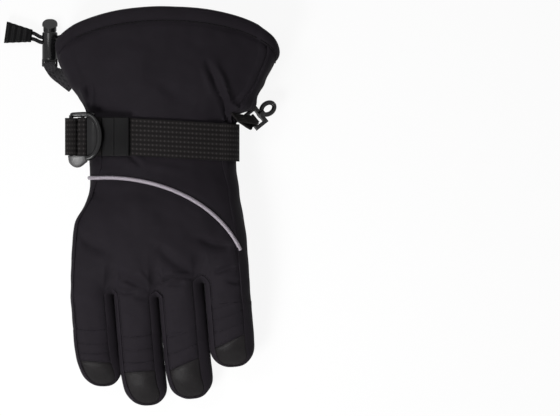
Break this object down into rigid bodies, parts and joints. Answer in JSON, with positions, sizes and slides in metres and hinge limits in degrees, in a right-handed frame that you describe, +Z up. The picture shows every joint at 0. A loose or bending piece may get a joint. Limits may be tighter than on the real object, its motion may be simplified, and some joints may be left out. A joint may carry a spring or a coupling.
{
  "type": "ski glove",
  "caption": "Left-hand gauntlet ski glove with bending finger ends, swinging thumb, wrist strap with ladder-lock buckle, hem drawcord with a sprung toggle, and a clip.",
  "frame": {"origin": "bottom centre of the glove lying palm down, without the free cord", "axes": "+Z up from the palm to the back, +Y along the hand to the cuff, +X to the little-finger side"},
  "size_m": [0.1868, 0.2682, 0.0541],
  "materials": {
    "softshell": "matt woven softshell",
    "leather": "fine grain, low sheen",
    "fleece": "brushed lining",
    "piping": "smooth light grey piping",
    "webbing": "woven webbing",
    "plastic": "moulded gloss",
    "braid": "round braid",
    "steel": "drawn wire"
  },
  "bodies": {
    "hand": {"hand_back": "softshell", "cuff_back": "softshell", "cuff_palm_little": "softshell", "cuff_palm_thumb": "softshell", "wrist_gather": "softshell", "gusset_thumb": "softshell", "gusset_little": "softshell", "fourchette_index_middle": "softshell", "fourchette_middle_ring": "softshell", "fourchette_ring_little": "softshell", "cuff_hem": "softshell", "index_flex_panel": "softshell", "middle_flex_panel": "softshell", "ring_flex_panel": "softshell", "little_flex_panel": "softshell", "palm_leather": "leather", "pull_loop": "leather", "hand_lining": "fleece", "index_lining": "fleece", "middle_lining": "fleece", "ring_lining": "fleece", "little_lining": "fleece", "piping": "piping", "wrist_strap": "webbing", "strap_turn": "webbing", "buckle_loop": "webbing", "clip_tab": "webbing", "wrist_elastic": "webbing", "strap_end_tab": "plastic", "toggle_barrel": "plastic", "cord_end": "plastic", "drawcord_ring": "braid", "drawcord_strand_a": "braid", "drawcord_strand_b": "braid", "anchor_tape": "braid", "toggle_spring": "steel"},
    "index_tip": {"index_tip_back": "softshell", "index_tip_cap": "leather", "index_tip_palm": "leather", "index_tip_side": "softshell"},
    "middle_tip": {"middle_tip_back": "softshell", "middle_tip_cap": "leather", "middle_tip_palm": "leather", "middle_tip_side": "softshell"},
    "ring_tip": {"ring_tip_back": "softshell", "ring_tip_cap": "leather", "ring_tip_palm": "leather", "ring_tip_side": "softshell"},
    "little_tip": {"little_tip_back": "softshell", "little_tip_cap": "leather", "little_tip_palm": "leather", "little_tip_side": "softshell"},
    "thumb": {"thumb_outer": "softshell", "thumb_inner": "leather", "thumb_side": "softshell", "thumb_lining": "fleece"},
    "toggle_button": {"toggle_button": "plastic"},
    "buckle": {"buckle": "plastic"},
    "clip": {"clip": "plastic"}
  },
  "joints": [
    {"name": "index_flex", "type": "hinge", "parent": "hand", "child": "index_tip", "pos_m": [-0.04408, -0.08639, 0.02071], "axis": [1, 0, 0], "range_deg": [0, 45], "stiffness_Nm_per_rad": 0.06, "deforming": ["index_flex_panel", "index_lining"]},
    {"name": "middle_flex", "type": "hinge", "parent": "hand", "child": "middle_tip", "pos_m": [-0.0138, -0.09089, 0.0191], "axis": [1, 0, 0], "range_deg": [0, 45], "stiffness_Nm_per_rad": 0.06, "deforming": ["middle_flex_panel", "middle_lining"]},
    {"name": "ring_flex", "type": "hinge", "parent": "hand", "child": "ring_tip", "pos_m": [0.01632, -0.08886, 0.01982], "axis": [1, 0, 0], "range_deg": [0, 45], "stiffness_Nm_per_rad": 0.06, "deforming": ["ring_flex_panel", "ring_lining"]},
    {"name": "little_flex", "type": "hinge", "parent": "hand", "child": "little_tip", "pos_m": [0.04703, -0.06931, 0.02676], "axis": [1, 0, 0], "range_deg": [0, 45], "stiffness_Nm_per_rad": 0.06, "deforming": ["little_flex_panel", "little_lining"]},
    {"name": "thumb_swing", "type": "hinge", "parent": "hand", "child": "thumb", "pos_m": [-0.02844, 0.00003, 0.0105], "axis": [0, 0, -1], "range_deg": [0, 40], "stiffness_Nm_per_rad": 0.05},
    {"name": "toggle_press", "type": "slide", "parent": "hand", "child": "toggle_button", "axis": [0, -1, 0], "range_m": [0, 0.003], "stiffness_N_per_m": 300, "deforming": ["toggle_spring"]},
    {"name": "buckle_tilt", "type": "hinge", "parent": "hand", "child": "buckle", "pos_m": [-0.05967, 0.04592, 0.03726], "axis": [0, -1, 0], "range_deg": [0, 35], "deforming": ["strap_turn"]},
    {"name": "clip_swing", "type": "hinge", "parent": "hand", "child": "clip", "pos_m": [0.06156, 0.05653, 0.02], "axis": [0.6293, -0.7771, 0], "range_deg": [0, 60]}
  ]
}
